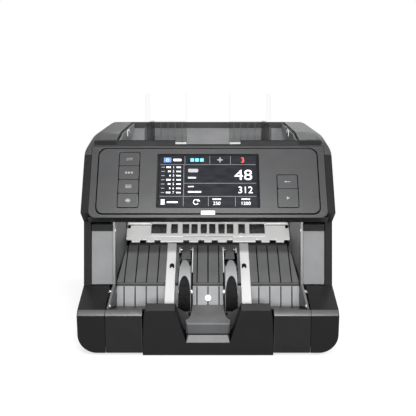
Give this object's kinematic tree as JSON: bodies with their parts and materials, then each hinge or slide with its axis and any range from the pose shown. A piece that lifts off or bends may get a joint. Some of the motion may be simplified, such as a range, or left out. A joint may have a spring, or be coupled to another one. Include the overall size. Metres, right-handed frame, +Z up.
{
  "type": "banknote counting machine",
  "caption": "Desktop banknote counting machine with a top hopper between clear sliding guides, a sloping display panel with keys and an open stacker pocket below.",
  "frame": {"origin": "on the floor under the middle of the machine's outline", "axes": "+Z up, front and pocket towards -Y, +X to the right when seen from the front"},
  "size_m": [0.26, 0.248, 0.252],
  "materials": {
    "dark_case": "fine satin texture",
    "grey_case": "satin",
    "light_grey": "satin",
    "off_white": "satin",
    "rubber": "matt",
    "clear_guide": "clear, polished",
    "display_glass": "gloss",
    "white_lens": "gloss",
    "circuit": "satin",
    "black_sensor": "satin",
    "steel": "brushed",
    "brass": "turned",
    "motor_steel": "satin",
    "alloy": "satin"
  },
  "bodies": {
    "chassis": {"base_corner_left": "dark_case", "base_corner_right": "dark_case", "base_fascia": "dark_case", "base_pan": "dark_case", "case_screws": "steel", "column_panel_left": "light_grey", "column_panel_right": "light_grey", "control_panel": "grey_case", "display_module": "circuit", "display_window": "display_glass", "drive_belts": "rubber", "feet": "rubber", "finger_tongue": "grey_case", "guide_strips": "off_white", "head_shell": "grey_case", "hopper_tray": "light_grey", "image_sensors": "black_sensor", "key_board": "circuit", "main_board": "circuit", "main_motor": "motor_steel", "note_sensors": "white_lens", "outlet_comb": "off_white", "power_inlet": "dark_case", "power_supply": "alloy", "rear_frame": "dark_case", "shaft_bushes": "brass", "side_cover_left": "dark_case", "side_cover_right": "dark_case", "side_frame_left": "steel", "side_frame_right": "steel", "stacker_back_wall": "light_grey", "stacker_chute": "grey_case", "stacker_front": "dark_case", "stacker_wall_left": "grey_case", "stacker_wall_right": "grey_case", "status_light": "white_lens", "tie_rods": "steel", "top_cover": "grey_case"},
    "stacker_wheels": {"stacker_shaft": "steel", "stacker_hubs": "light_grey", "stacker_vanes": "rubber"},
    "outlet_rolls": {"outlet_shaft": "steel", "outlet_rollers": "rubber"},
    "exit_rolls": {"exit_shaft": "steel", "exit_rollers": "rubber"},
    "feed_rolls": {"feed_shaft": "steel", "feed_rollers": "rubber"},
    "motor_rotor": {"motor_pulley": "brass"},
    "guide_left": {"hopper_guide_left": "clear_guide"},
    "guide_right": {"hopper_guide_right": "clear_guide"},
    "door": {"rear_cover": "dark_case"},
    "rocker": {"power_rocker": "dark_case"},
    "key_change_cap": {"key_change": "grey_case"},
    "key_mode_cap": {"key_mode": "grey_case"},
    "key_menu_cap": {"key_menu": "grey_case"},
    "key_print_cap": {"key_print": "grey_case"},
    "key_escape_cap": {"key_escape": "grey_case"},
    "key_start_cap": {"key_start": "grey_case"}
  },
  "joints": [
    {"name": "feed_spin", "type": "hinge", "parent": "chassis", "child": "feed_rolls", "pos_m": [0, 0.00597, 0.1505], "axis": [1, 0, 0], "continuous": true},
    {"name": "motor_spin", "type": "hinge", "parent": "chassis", "child": "motor_rotor", "pos_m": [0, 0.056, 0.045], "axis": [1, 0, 0], "continuous": true},
    {"name": "exit_spin", "type": "hinge", "parent": "chassis", "child": "exit_rolls", "pos_m": [0, -0.0135, 0.0796], "axis": [1, 0, 0], "continuous": true},
    {"name": "outlet_spin", "type": "hinge", "parent": "chassis", "child": "outlet_rolls", "pos_m": [0, -0.01732, 0.09913], "axis": [1, 0, 0], "continuous": true},
    {"name": "stacker_spin", "type": "hinge", "parent": "chassis", "child": "stacker_wheels", "pos_m": [0, -0.066, 0.047], "axis": [1, 0, 0], "continuous": true},
    {"name": "key_change_press", "type": "slide", "parent": "chassis", "child": "key_change_cap", "axis": [0, 0.8443, -0.5358], "range_m": [0, 0.0008], "stiffness_N_per_m": 400, "springref_m": -0.002},
    {"name": "key_mode_press", "type": "slide", "parent": "chassis", "child": "key_mode_cap", "axis": [0, 0.8443, -0.5358], "range_m": [0, 0.0008], "stiffness_N_per_m": 400, "springref_m": -0.002},
    {"name": "key_menu_press", "type": "slide", "parent": "chassis", "child": "key_menu_cap", "axis": [0, 0.8443, -0.5358], "range_m": [0, 0.0008], "stiffness_N_per_m": 400, "springref_m": -0.002},
    {"name": "key_print_press", "type": "slide", "parent": "chassis", "child": "key_print_cap", "axis": [0, 0.8443, -0.5358], "range_m": [0, 0.0008], "stiffness_N_per_m": 400, "springref_m": -0.002},
    {"name": "key_escape_press", "type": "slide", "parent": "chassis", "child": "key_escape_cap", "axis": [0, 0.8443, -0.5358], "range_m": [0, 0.0008], "stiffness_N_per_m": 400, "springref_m": -0.002},
    {"name": "key_start_press", "type": "slide", "parent": "chassis", "child": "key_start_cap", "axis": [0, 0.8443, -0.5358], "range_m": [0, 0.0008], "stiffness_N_per_m": 400, "springref_m": -0.002},
    {"name": "guide_left_slide", "type": "slide", "parent": "chassis", "child": "guide_left", "axis": [1, 0, 0], "range_m": [-0.022, 0.02]},
    {"name": "guide_right_slide", "type": "slide", "parent": "chassis", "child": "guide_right", "axis": [-1, 0, 0], "range_m": [-0.022, 0.02]},
    {"name": "door_open", "type": "hinge", "parent": "chassis", "child": "door", "pos_m": [0, 0.1225, 0.0658], "axis": [-1, 0, 0], "range_deg": [0, 95]},
    {"name": "rocker_tilt", "type": "hinge", "parent": "chassis", "child": "rocker", "pos_m": [-0.0563, 0.12, 0.035], "axis": [1, 0, 0], "range_deg": [0, 14]}
  ],
  "couplings": [
    {"joint": "motor_spin", "follows": "feed_spin", "ratio": 2},
    {"joint": "exit_spin", "follows": "feed_spin", "ratio": 1.6},
    {"joint": "outlet_spin", "follows": "feed_spin", "ratio": -1.536},
    {"joint": "stacker_spin", "follows": "feed_spin", "ratio": 1.3333}
  ]
}
